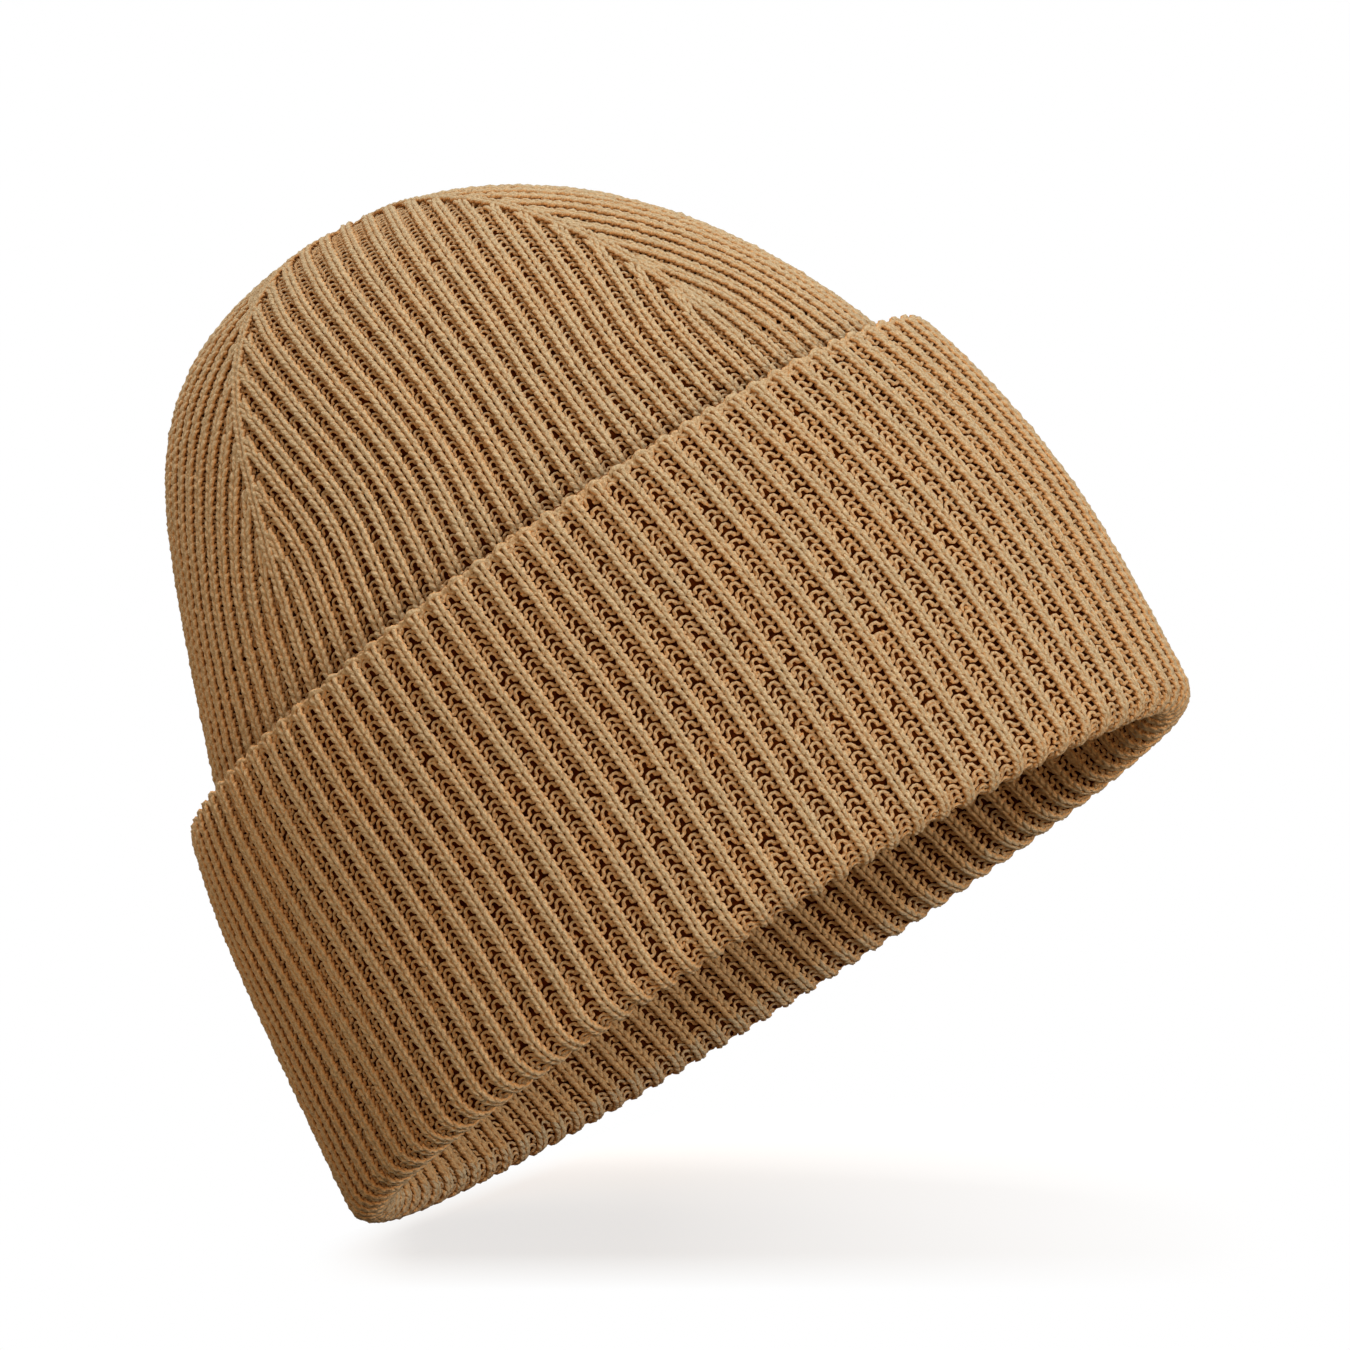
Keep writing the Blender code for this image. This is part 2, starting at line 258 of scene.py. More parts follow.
# rings of the crown, evenly spaced up every meridian, that close on a point set a little back
def crownRings():
    step = fabric["gridStep"]
    base = hatForm["crownBase"]
    fine = hatForm["crownHeight"] - (hatForm["crownHeight"] - base) * np.linspace(1, 0, 600) ** 2
    meridians = skin(fine[:, None], ringAngles[None, :])
    lengths = np.linalg.norm(np.diff(meridians, axis=0), axis=2)
    travelled = np.concatenate([np.zeros((1, len(ringAngles))), np.cumsum(lengths, axis=0)])
    courses = int(round(float(travelled[-1].mean()) / fabric["course"]))
    rows = np.arange(-2, courses + step / 2, step)
    outside = []
    for row in rows:
        if row < 0:
            outside.append(skin(base + row * fabric["course"], ringAngles))
        else:
            share = row / courses
            heights = [np.interp(share * way[-1], way, fine) for way in travelled.T]
            outside.append(skin(np.array(heights), ringAngles))
    outside = np.array(outside)
    length = np.linalg.norm(np.diff(outside, axis=1), axis=2).sum(axis=1)
    drawnIn = np.clip(1 - length / length[rows == 0], 0, 1)
    moved = drawnIn > 0
    outside[moved, :, 0] += hatForm["setBack"] * drawnIn[moved, None]
    outside[moved, :, 2] = heightOver(outside[moved, :, 0] - axisX, outside[moved, :, 1])
    across = np.gradient(outside, axis=1)
    across[:, 0] = across[:, -1] = outside[:, 1] - outside[:, -2]
    normals = unit(np.cross(across, np.gradient(outside, axis=0)))
    normals[-1] = (0.0, 0.0, 1.0)
    middle = outside - normals * fabric["thick"] / 2
    steps = np.linalg.norm(np.diff(middle, axis=1), axis=2)
    around = np.concatenate([np.zeros((len(rows), 1)), np.cumsum(steps, axis=1)], axis=1)
    return {"rows": rows, "points": middle, "normals": normals, "around": around, "courses": courses}


# patch of the crown about one share of the way round; its wales draw in at first, then keep their width
def crownPatch(rings, share, halfWales):
    step = fabric["gridStep"]
    wales = np.arange(-halfWales, halfWales + step / 2, step)
    perWale = rings["around"][:, -1] / fabric["wales"]
    relaxed = np.minimum(dart["narrow"] + dart["grow"] * rings["rows"], dart["full"])
    width = dart["blend"] * np.logaddexp(perWale / dart["blend"], relaxed / dart["blend"])
    points = []
    normals = []
    for r in range(len(width)):
        around = rings["around"][r]
        place = np.mod(share * around[-1] + wales * width[r], max(around[-1], 1e-9))
        for field, laid in (("points", points), ("normals", normals)):
            axes = [np.interp(place, around, rings[field][r, :, c]) for c in range(3)]
            laid.append(np.stack(axes, axis=-1))
    return {
        "points": np.array(points),
        "normals": unit(np.array(normals)),
        "widths": np.broadcast_to(width[:, None, None], (len(width), len(wales), 1)),
        "firstRow": rings["rows"][0],
        "firstWale": wales[0],
        "foldMiddle": -99,  # far from the fold
        "edge": perWale * fabric["wales"] / dart["halfSections"] / width,
    }


def sampleGrid(grid, field, wale, row):
    values = grid[field]
    u = np.clip((wale - grid["firstWale"]) / fabric["gridStep"], 0, values.shape[1] - 1.001)
    v = np.clip((row - grid["firstRow"]) / fabric["gridStep"], 0, values.shape[0] - 1.001)
    i = u.astype(int)
    j = v.astype(int)
    a = (u - i)[..., None]
    b = (v - j)[..., None]
    low = values[j, i] * (1 - a) + values[j, i + 1] * a
    high = values[j + 1, i] * (1 - a) + values[j + 1, i + 1] * a
    return low * (1 - b) + high * b


# yarn through whole courses of loops; facing +1 stands out along the normals, spans are in wales,
# seen is the face of the fabric that shows: loops standing out there are knit, the others purl
def courseYarn(grid, courses, wales, spans, facing, upward, samples, seen):
    theta = -math.pi + fullTurn * np.arange(samples) / samples
    window = np.cos(theta / 2) ** 2
    shape = (len(courses), len(wales), samples)
    at = np.broadcast_arrays(wales[None, :], courses[:, None])
    width = sampleGrid(grid, "widths", at[0], at[1]) * spans[None, :, None]
    purl = (facing * seen < 0)[None, :, None]
    legs = np.where(purl, stitch["purlLegs"], stitch["legs"][0] + stitch["legs"][1] * width)
    legs = np.minimum(legs, stitch["legLimit"] * width)
    slant = np.where(purl, stitch["purlSlant"], stitch["slant"])
    sway = (legs - width / 4) * np.sin(theta) + (slant + width / 8) * np.sin(2 * theta)
    loose = draws.normal(0, stitch["looseness"], (4, len(courses), len(wales), 1))
    x = wales[None, :, None] + spans[None, :, None] * (theta / fullTurn + sway / width)
    loose = loose * np.where(purl, stitch["purlLooseness"], 1.0)
    x = x + loose[0] * stitch["sideways"] * window
    y = stitch["lift"] * np.cos(theta) * (1 + loose[1] * window) + loose[2] * window
    y = courses[:, None, None] + upward * y
    depth = sum(part * np.cos((k + 0.5) * theta) for k, part in enumerate(stitch["depths"]))
    fromFold = (courses - grid["foldMiddle"]) / turnUp["foldReach"]
    flat = 1 - turnUp["foldFlatten"] * np.exp(-fromFold ** 2)
    dip = np.exp(-((np.abs(theta) - stitch["purlDip"][0]) / stitch["purlDip"][1]) ** 4)
    arch = stitch["purlBack"] * dip - stitch["purlFront"] * np.cos(theta / 2)
    depth = np.where(purl, arch, depth)
    z = facing[None, :, None] * depth * (1 + 2 * loose[3] * window) * flat[:, None, None]
    thick = fabric["yarnRadius"] * (1 - stitch["plump"] * np.cos(2 * theta))
    thick = thick * np.where(purl, stitch["purlThin"][0] + stitch["purlThin"][1] * width, 1.0)
    x, y, z, thick = (np.broadcast_to(part, shape).reshape(len(courses), -1) for part in (x, y, z, thick))
    # the last sinker closes the row
    end = np.ones((len(courses), 1))
    x = np.concatenate([x, (wales[-1] + spans[-1] / 2) * end], axis=1)
    y = np.concatenate([y, courses[:, None] - upward * stitch["lift"]], axis=1)
    z = np.concatenate([z, 0 * end], axis=1)
    thick = np.concatenate([thick, thick[:, :1]], axis=1)
    normals = unit(sampleGrid(grid, "normals", x, y))
    lines = sampleGrid(grid, "points", x, y) + normals * z[..., None]
    return {"lines": lines, "normals": normals, "height": z, "radius": thick}


def addPiece(name, mesh, material):
    mesh.shade_smooth()
    mesh.materials.append(material)
    piece = bpy.data.objects.new(name, mesh)
    bpy.context.scene.collection.objects.link(piece)
    return piece


# round yarn along each centre line, with closed ends and a map along and around it
def yarnPiece(name, groups, sides, material):
    vertices = []
    paintedShadeMask = []
    corners = []
    totals = []
    bakeMap = []
    yarnMap = []
    lineCount = sum(len(group["lines"]) for group in groups)
    firstVertex = 0
    firstLine = 0
    turn = np.arange(sides) * fullTurn / sides
    for group in groups:
        lines = group["lines"]
        count, length = lines.shape[:2]
        tangent = unit(np.gradient(lines, axis=1))
        side = np.zeros_like(lines)
        start = np.cross(tangent[:, 0], (0.31, 0.52, 0.79))
        side[:, 0] = unit(start)
        for s in range(1, length):
            moved = side[:, s - 1] - (side[:, s - 1] * tangent[:, s]).sum(1, keepdims=True) * tangent[:, s]
            side[:, s] = unit(moved)
        other = np.cross(tangent, side)
        circle = side[:, :, None] * np.cos(turn)[:, None] + other[:, :, None] * np.sin(turn)[:, None]
        fluff = draws.normal(1, stitch["fluff"], (count, length, sides))
        around = (group["radius"][:, :, None] * fluff)[..., None] * circle
        vertices.append((lines[:, :, None] + around).reshape(-1, 3))
        # painted shade: low where the yarn faces into the fabric, high where it faces out or stands off
        # the middle
        height = group["height"][:, :, None]
        facing = (circle * group["normals"][:, :, None]).sum(3)
        off = np.clip(np.abs(height) / stitch["offFabric"], 0, 1)
        shown = (1 - off) * np.abs(facing) + off * facing * np.sign(height)
        paintedShadeMask.append((shown + np.abs(height) / stitch["fullyLitHeight"]).reshape(-1))
        index = firstVertex + np.arange(count * length * sides).reshape(count, length, sides)
        beside = np.roll(index, -1, axis=2)
        quads = np.stack([index[:, :-1], beside[:, :-1], beside[:, 1:], index[:, 1:]], axis=-1)
        travelled = np.linalg.norm(np.diff(lines, axis=1), axis=2).cumsum(axis=1) * 1000
        travelled = np.concatenate([np.zeros((count, 1)), travelled], axis=1)
        # one map gives each yarn a strip of its own, the other runs along it in millimetres
        along = np.linspace(0, 1, length)
        row = firstLine + np.arange(count)
        low = np.arange(sides) / sides
        high = low + 1 / sides
        shape = (count, length - 1, sides)
        a0 = np.broadcast_to(along[None, :-1, None], shape)
        a1 = np.broadcast_to(along[None, 1:, None], shape)
        m0 = np.broadcast_to(travelled[:, :-1, None], shape)
        m1 = np.broadcast_to(travelled[:, 1:, None], shape)
        b0 = np.broadcast_to(low, shape)
        b1 = np.broadcast_to(high, shape)
        line = np.broadcast_to(row[:, None, None], shape)
        v0 = (line + 0.05 + 0.9 * b0) / lineCount
        v1 = (line + 0.05 + 0.9 * b1) / lineCount
        corners.append(quads.reshape(-1))
        totals.append(np.full(quads.size // 4, 4))
        bakeMap.append(np.stack([a0, v0, a0, v1, a1, v1, a1, v0], axis=-1).reshape(-1))
        yarnMap.append(np.stack([m0, b0, m0, b1, m1, b1, m1, b0], axis=-1).reshape(-1))
        # flat ends, tucked out of sight
        for end, order in ((index[:, 0, ::-1], 0), (index[:, -1], 1)):
            corners.append(end.reshape(-1))
            totals.append(np.full(count, sides))
            spread = 0.002 * np.stack([np.cos(turn), np.sin(turn)], axis=-1)
            middle = np.stack([np.full(count, 0.003 + 0.994 * order), (row + 0.5) / lineCount], axis=-1)
            flat = np.clip(middle[:, None] + spread[None] * (1, 0.2 / lineCount), 0, 1)
            bakeMap.append(flat.reshape(-1))
            yarnMap.append(flat.reshape(-1))
        firstVertex += count * length * sides
        firstLine += count
    vertices = np.concatenate(vertices)
    corners = np.concatenate(corners).astype(np.int32)
    totals = np.concatenate(totals).astype(np.int32)
    mesh = bpy.data.meshes.new(name)
    mesh.vertices.add(len(vertices))
    mesh.vertices.foreach_set("co", vertices.astype(np.float32).reshape(-1))
    mesh.loops.add(len(corners))
    mesh.loops.foreach_set("vertex_index", corners)
    mesh.polygons.add(len(totals))
    mesh.polygons.foreach_set("loop_start", np.concatenate([[0], np.cumsum(totals)[:-1]]).astype(np.int32))
    mesh.update(calc_edges=True)
    mesh.uv_layers.new(name="OFBake").data.foreach_set("uv", np.concatenate(bakeMap).astype(np.float32))
    mesh.uv_layers.new(name="yarn").data.foreach_set("uv", np.concatenate(yarnMap).astype(np.float32))
    # painted shade level of each vertex, for the yarn's material
    shadeRampInput = mesh.attributes.new("paintedShadeMask", "FLOAT", "POINT")
    shadeRampInput.data.foreach_set("value", np.concatenate(paintedShadeMask).astype(np.float32))
    return addPiece(name, mesh, material)


def gridFaces(rows, columns):
    index = np.arange(rows * columns).reshape(rows, columns)
    corners = (index[:-1, :-1], index[:-1, 1:], index[1:, 1:], index[1:, :-1])
    return np.stack(corners, axis=-1).reshape(-1, 4)


# dark sheet in the middle of the fabric: painted shade that fills the gaps between the loops and closes
# them
def gapShadeSheet(name, points, material):
    rows, columns = points.shape[:2]
    quads = gridFaces(rows, columns)
    mesh = bpy.data.meshes.new(name)
    mesh.from_pydata(points.reshape(-1, 3).tolist(), [], quads.tolist())
    across, along = np.meshgrid(np.linspace(0, 1, columns), np.linspace(0, 1, rows))
    flat = np.stack([across, along], axis=-1).reshape(-1, 2)[quads.reshape(-1)]
    mesh.uv_layers.new(name="OFBake").data.foreach_set("uv", flat.astype(np.float32).reshape(-1))
    return addPiece(name, mesh, material)


# near-black colours of the sheet, painted shade seen through the gaps between the loops
gapShade = {
    "dark": (0.016, 0.003, 0.0004, 1.0),
    "light": (0.055, 0.011, 0.001, 1.0),
    "scale": 900.0,
    "stops": (0.35, 0.75),
}


def gapShadeMaterial(name):
    material = bpy.data.materials.new(name)
    material.use_nodes = True
    nodes = material.node_tree.nodes
    links = material.node_tree.links
    shader = nodes["Principled BSDF"]
    shader.inputs["Roughness"].default_value = 1.0
    shader.inputs["Specular IOR Level"].default_value = 0.0
    clumps = nodes.new("ShaderNodeTexNoise")
    clumps.inputs["Scale"].default_value = gapShade["scale"]
    links.new(nodes.new("ShaderNodeTexCoord").outputs["Object"], clumps.inputs["Vector"])
    ramp = nodes.new("ShaderNodeValToRGB")
    for element, stop, colour in zip(ramp.color_ramp.elements, gapShade["stops"], ("dark", "light")):
        element.position = stop
        element.color = gapShade[colour]
    links.new(clumps.outputs["Fac"], ramp.inputs["Fac"])
    links.new(ramp.outputs["Color"], shader.inputs["Base Color"])
    return material


def fit(piece, slot, *nodes):
    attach(piece, "root")
    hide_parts(*nodes)
    return piece


camelYarn = {
    "pale": (0.470, 0.389, 0.250, 1.0),
    # middle and deep are painted shade: redder and darker down the yarn's flanks and in the hollows
    # between the loops
    "middle": (0.640, 0.338, 0.122, 1.0),
    "deep": (0.095, 0.017, 0.001, 1.0),
    "paintedShadeStops": (-0.55, 0.25, 1.10),
    "plyPitch": 3.4,  # millimetres
    "plies": 2,
    "plyShade": 0.05,
    "plyBump": 0.35,
    "fibres": 9.0,
    "fibreStretch": 0.55,
    "fibreScale": 1.6,
    "fuzzScale": 2400.0,
    "dyeScale": 90.0,
    "dyeShare": 0.35,
    "mottle": 0.60,
    "mottleMiddle": 0.675,
    "speckle": 1.80,
    "speckleShares": (0.4, 0.6),  # of fibres and of fuzz
    "bumpStrength": 0.8,
    "bumpDistance": 0.00040,
    "roughness": 0.92,
    "gloss": 0.12,
    "sheen": 0.05,
    "sheenRoughness": 0.5,
    "sheenTint": (1.0, 0.86, 0.68, 1.0),
}


# wool-like yarn: plies twist round it, fibres streak along it, and it is painted darker and redder where
# it faces into the fabric, shade of the hollows between the loops
def yarnMaterial(name, look):
    material = bpy.data.materials.new(name)
    material.use_nodes = True
    nodes = material.node_tree.nodes
    links = material.node_tree.links
    shader = nodes["Principled BSDF"]
    shader.inputs["Roughness"].default_value = look["roughness"]
    shader.inputs["Sheen Weight"].default_value = look["sheen"]
    shader.inputs["Sheen Roughness"].default_value = look["sheenRoughness"]
    shader.inputs["Sheen Tint"].default_value = look["sheenTint"]
    shader.inputs["Specular IOR Level"].default_value = look["gloss"]

    def sums(operation, first, second):
        node = nodes.new("ShaderNodeMath")
        node.operation = operation
        for socket, value in zip(node.inputs, (first, second)):
            if isinstance(value, (int, float)):
                socket.default_value = value
            else:
                links.new(value, socket)
        return node.outputs[0]

    def noise(vector, scale, detail):
        node = nodes.new("ShaderNodeTexNoise")
        node.inputs["Scale"].default_value = scale
        node.inputs["Detail"].default_value = detail
        links.new(vector, node.inputs["Vector"])
        return node.outputs["Fac"]

    yarnCoords = nodes.new("ShaderNodeUVMap")
    yarnCoords.uv_map = "yarn"
    split = nodes.new("ShaderNodeSeparateXYZ")
    links.new(yarnCoords.outputs["UV"], split.inputs[0])
    along = split.outputs["X"]
    twist = sums("ADD", sums("DIVIDE", along, look["plyPitch"]), split.outputs["Y"])
    plyWave = sums("SINE", sums("MULTIPLY", twist, fullTurn * look["plies"]), 0.0)
    stretch = nodes.new("ShaderNodeCombineXYZ")
    links.new(sums("MULTIPLY", along, look["fibreStretch"]), stretch.inputs["X"])
    links.new(sums("MULTIPLY", twist, look["fibres"]), stretch.inputs["Y"])
    place = nodes.new("ShaderNodeTexCoord").outputs["Object"]
    fibres = noise(stretch.outputs[0], look["fibreScale"], 3.0)
    fuzz = noise(place, look["fuzzScale"], 2.0)
    dye = noise(place, look["dyeScale"], 2.0)

    # painted shade, from how far each point stands off the middle of the fabric and which way it faces:
    # the ramp below turns it deep and dark in the hollows and pale on top
    paintedShadeMask = nodes.new("ShaderNodeAttribute")
    paintedShadeMask.attribute_name = "paintedShadeMask"
    dyed = sums("MULTIPLY", dye, look["dyeShare"])
    mottle = sums("ADD", sums("MULTIPLY", sums("ADD", fibres, fuzz), 0.5), dyed)
    mottle = sums("MULTIPLY", sums("SUBTRACT", mottle, look["mottleMiddle"]), look["mottle"] * 2)
    mottle = sums("ADD", mottle, sums("MULTIPLY", plyWave, look["plyShade"]))
    ramp = nodes.new("ShaderNodeValToRGB")
    low, middle, high = look["paintedShadeStops"]
    shadeRampInput = sums("ADD", paintedShadeMask.outputs["Fac"], mottle)
    share = sums("DIVIDE", sums("SUBTRACT", shadeRampInput, low), high - low)
    links.new(share, ramp.inputs["Fac"])
    ramp.color_ramp.elements[0].color = look["deep"]
    ramp.color_ramp.elements[1].color = look["pale"]
    ramp.color_ramp.elements.new((middle - low) / (high - low)).color = look["middle"]
    ofFibres, ofFuzz = look["speckleShares"]
    speckle = sums("ADD", sums("MULTIPLY", fibres, ofFibres), sums("MULTIPLY", fuzz, ofFuzz))
    speckle = sums("ADD", sums("MULTIPLY", sums("SUBTRACT", speckle, 0.5), look["speckle"]), 1.0)
    grain = nodes.new("ShaderNodeVectorMath")
    grain.operation = "SCALE"
    links.new(ramp.outputs["Color"], grain.inputs[0])
    links.new(speckle, grain.inputs["Scale"])
    links.new(grain.outputs[0], shader.inputs["Base Color"])

    height = sums("ADD", sums("MULTIPLY", plyWave, look["plyBump"]), sums("ADD", fibres, fuzz))
    bump = nodes.new("ShaderNodeBump")
    bump.inputs["Strength"].default_value = look["bumpStrength"]
    bump.inputs["Distance"].default_value = look["bumpDistance"]
    links.new(height, bump.inputs["Height"])
    links.new(bump.outputs["Normal"], shader.inputs["Normal"])
    return material


ribYarn = yarnMaterial("camel_rib_yarn", camelYarn)
# a warmer, redder copy of the yarn for the inside of the head band: painted warm bounce light
warmBounceYarn = yarnMaterial("camel_yarn_painted_warm_bounce", dict(camelYarn, pale=(0.520, 0.345, 0.170, 1.0)))
seamYarn = yarnMaterial("camel_seam_yarn", dict(camelYarn, plyPitch=3.0, fibres=11.0))

# wale width in the crown: drawn in with the head at first, then kept and let out by the darts
dart = {
    "narrow": 0.00226,
    "grow": 0.0000095,
    "full": 0.00258,
    "blend": 0.00007,
    "halfSections": 8,
    "halfWales": 26,  # wales laid out on each side of a section's middle, and of a dart
    "dartWales": 3,
    "overlap": 0.45,
    "spare": 0.1,  # a last wale nearly this much short still counts
    "span": 1.12,
    "raise": 0.0002,
    "lowerRows": 16,
}
tie = {"courses": 5}  # drawn together at the top

band = bandGrid()
rings = crownRings()
print("fabric laid out:", int(band["crownStart"]), "courses to the crown,", rings["courses"], "above it")

bandWales = np.arange(1, fabric["wales"])
bandFacing = np.where(bandWales % 2 == 0, 1.0, -1.0)
seamWale = np.array([0])
seamFacing = np.array([1.0])

# courses of each band from first to end; detail is the samples to a loop and the sides of the yarn
bandPieces = {
    "cuff_knit": {
        "courses": (1, 47), "split": 7, "detail": (12, 6), "node": "cuff_band", "yarn": ribYarn,
    },
    "fold_knit": {
        "courses": (47, 55), "split": 2, "detail": (12, 6), "node": "turn_up_fold", "yarn": ribYarn,
    },
    "rim_inside_knit": {
        "courses": (55, 69), "split": 2, "detail": (12, 6), "node": "head_band", "yarn": warmBounceYarn,
    },
    "covered_knit": {
        "courses": (69, 98), "split": 3, "detail": (10, 5), "node": "head_band", "yarn": warmBounceYarn,
    },
    "head_knit": {
        "courses": (98, 112), "split": 2, "detail": (12, 6), "node": "head_band", "yarn": ribYarn,
    },
}


# loops hang down the cuff as far as the fold's middle and stand up from there
def loopsIn(courses, wales, facing, samples):
    groups = []
    spans = np.ones(len(wales))
    for upward in (-1, 1):
        chosen = courses[(courses > band["foldMiddle"]) == (upward > 0)]
        if len(chosen):
            seen = -1 if chosen[0] < turnUp["outerFrom"] else 1
            groups.append(courseYarn(band, chosen, wales, spans, facing, upward, samples, seen))
    return groups


for name, rows in bandPieces.items():
    edges = np.linspace(*rows["courses"], rows["split"] + 1).astype(int)
    samples, sides = rows["detail"]
    for part in range(rows["split"]):
        courses = np.arange(edges[part], edges[part + 1]).astype(float)
        groups = loopsIn(courses, bandWales, bandFacing, samples)
        piece = yarnPiece(name + "_" + str(part + 1), groups, sides, rows["yarn"])
        fit(piece, "rib_knit", rows["node"])
print("rib bands knitted")

seams = {
    "cuff_seam": {"courses": (1, 51), "node": "cuff_back_seam"},
    "head_seam": {"courses": (51, 112), "node": "back_seam"},
}
for name, seam in seams.items():
    courses = np.arange(*seam["courses"]).astype(float)
    groups = loopsIn(courses, seamWale, seamFacing, stitch["samples"])
    fit(yarnPiece(name, groups, stitch["sides"], seamYarn), "seam_yarn", seam["node"])
print("back seam linked")

# crown sections and darts by their share of the way round from the back; wales keep their width, and the
# last one of a section narrows until the dart covers it
goreShares = {"back": 1 / 64, "right": 17 / 64, "front": 33 / 64, "left": 49 / 64}
dartShares = {"back_right": 9 / 64, "front_right": 25 / 64, "front_left": 41 / 64, "back_left": 57 / 64}
tieStart = rings["courses"] - tie["courses"]
tieGroups = []
for name, share in goreShares.items():
    patch = crownPatch(rings, share, dart["halfWales"])
    groups = []
    for course in range(rings["courses"]):
        end = patch["edge"][int((course - patch["firstRow"]) / fabric["gridStep"])] - dart["overlap"]
        last = math.floor(end + dart["spare"])
        if last < 1:
            continue
        whole = np.arange(-last, last + 1)
        wales = whole.astype(float)
        spans = np.ones(len(wales))
        spans[0] = spans[-1] = end - last + 0.5
        wales[-1] = last - 0.5 + spans[-1] / 2
        wales[0] = -wales[-1]
        facing = np.where(whole % 2 == 0, 1.0, -1.0)
        row = courseYarn(patch, np.array([float(course)]), wales, spans, facing, 1, stitch["samples"], 1)
        (groups if course < tieStart else tieGroups).append(row)
    for part, rows in (("lower", groups[:dart["lowerRows"]]), ("upper", groups[dart["lowerRows"]:])):
        piece = yarnPiece("crown_knit_" + name + "_" + part, rows, stitch["sides"], ribYarn)
        fit(piece, "rib_knit", "crown_gore_" + name)
for name, share in dartShares.items():
    patch = crownPatch(rings, share, dart["dartWales"])
    patch["points"] = patch["points"] + patch["normals"] * dart["raise"]
    wales = np.zeros(1)
    spans = np.full(1, dart["span"])
    courses = np.arange(0, tieStart).astype(float)
    groups = [courseYarn(patch, courses, wales, spans, np.ones(1), 1, stitch["samples"], 1)]
    last = np.arange(tieStart, rings["courses"]).astype(float)
    tieGroups.append(courseYarn(patch, last, wales, spans, np.ones(1), 1, stitch["samples"], 1))
    piece = yarnPiece("dart_wale_" + name, groups, stitch["sides"], seamYarn)
    fit(piece, "seam_yarn", "crown_dart_" + name)
fit(yarnPiece("crown_gather", tieGroups, stitch["sides"], seamYarn), "seam_yarn", "crown_tie")
print("crown shaped with", len(dartShares), "darts")

# the sheets' material paints shade in the gaps between the loops
paintedGapShade = gapShadeMaterial("camel_gap_shade")
sheetRows = np.arange(0.5, band["crownStart"] + 1, 1.0)
sheetWales = np.linspace(0, fabric["wales"], fabric["wales"] + 1)
gapShadePieces = {
    "cuff_loft": {"rows": (0, 48), "node": "cuff_band"},
    "fold_loft": {"rows": (47, 56), "node": "turn_up_fold"},
    "head_loft": {"rows": (55, len(sheetRows)), "node": "head_band"},
}
for name, sheet in gapShadePieces.items():
    at = np.meshgrid(sheetWales, sheetRows[slice(*sheet["rows"])])
    piece = gapShadeSheet(name, sampleGrid(band, "points", at[0], at[1]), paintedGapShade)
    fit(piece, "rib_knit", sheet["node"])
# whole courses from the crown's base up, and every third point round
crownSheet = rings["points"][4::2, ::3]
goreNodes = ["crown_gore_" + gore for gore in goreShares]
fit(gapShadeSheet("crown_loft", crownSheet, paintedGapShade), "rib_knit", *goreNodes)
print("loft laid inside the fabric")

# cast-on edge along the top of the cuff: caps over the ribs, arcs over the valleys, a welt along both
hem = {
    "row": 0.50,
    "ribLift": 0.55,
    "valleyLift": 0.35,
    "rib": 0.00080,
    "valley": 0.00015,
    "capBow": 0.7,
    "radius": 0.00058,
    "welt": (0.22, 0.22),
    "weltOut": (0.00040, 0.00034),
    "weltRadius": (0.00062, 0.00012),
}
hemTheta = -math.pi + fullTurn * np.arange(stitch["samples"]) / stitch["samples"]
hemWales = np.arange(0, fabric["wales"])[:, None]
hemGroups = []
for side in (1, -1):
    isRib = hemWales % 2 == (1 if side > 0 else 0)
    width = sampleGrid(band, "widths", hemWales[:, 0], 0.0 * hemWales[:, 0])
    legs = stitch["legs"][0] + stitch["legs"][1] * width
    sway = (legs - width / 4) * np.sin(hemTheta) + width / 8 * np.sin(2 * hemTheta)
    capX = hemWales + hemTheta / fullTurn + sway / width
    capY = hem["row"] - np.where(isRib, hem["ribLift"], hem["valleyLift"]) * np.cos(hemTheta)
    capOut = np.where(isRib, hem["rib"], hem["valley"]) * np.cos(hemTheta / 2) ** hem["capBow"]
    weltX = hemWales + hemTheta / fullTurn
    wave = np.cos(math.pi * weltX) * (-1 if side > 0 else 1)
    weltY = hem["welt"][0] - hem["welt"][1] * wave
    weltOut = hem["weltOut"][0] + hem["weltOut"][1] * wave
    weltRadius = hem["weltRadius"][0] + hem["weltRadius"][1] * wave
    capRadius = np.full(capX.shape, hem["radius"])
    strands = ((capX, capY, capOut, capRadius), (weltX, weltY, weltOut, weltRadius))
    for x, y, out, radius in strands:
        x, y, out, radius = (part.reshape(1, -1) for part in (x, y, side * out, radius))
        normals = -unit(sampleGrid(band, "normals", x, y))
        lines = sampleGrid(band, "points", x, y) + normals * out[..., None]
        hemGroups.append({"lines": lines, "normals": normals, "height": out, "radius": radius})
fit(yarnPiece("cuff_cast_on", hemGroups, stitch["sides"], ribYarn), "rib_knit", "cuff_hem")
print("cast-on edge laid")

# camera: photo frame of 1350 px, hat rolled to the left
shot = {
    "target": (0.0, 0.0, 0.090),
    "distance": 1.700,
    "azimuth": -3.948,
    "elevation": -9.214,
    "roll": 32.17,
    "lens": 211.1,
    "sensor": 36,
    "frame": 1350,
    "targetPixel": (556.6, 617.4),
}


def cameraAxes():
    azimuth = math.radians(shot["azimuth"])
    elevation = math.radians(shot["elevation"])
    roll = math.radians(shot["roll"])
    level = Vector((math.cos(azimuth), -math.sin(azimuth), 0))
    flat = math.cos(elevation)
    look = Vector((flat * math.sin(azimuth), flat * math.cos(azimuth), -math.sin(elevation)))
    upright = level.cross(look)
    right = level * math.cos(roll) - upright * math.sin(roll)
    up = level * math.sin(roll) + upright * math.cos(roll)
    return look, right, up


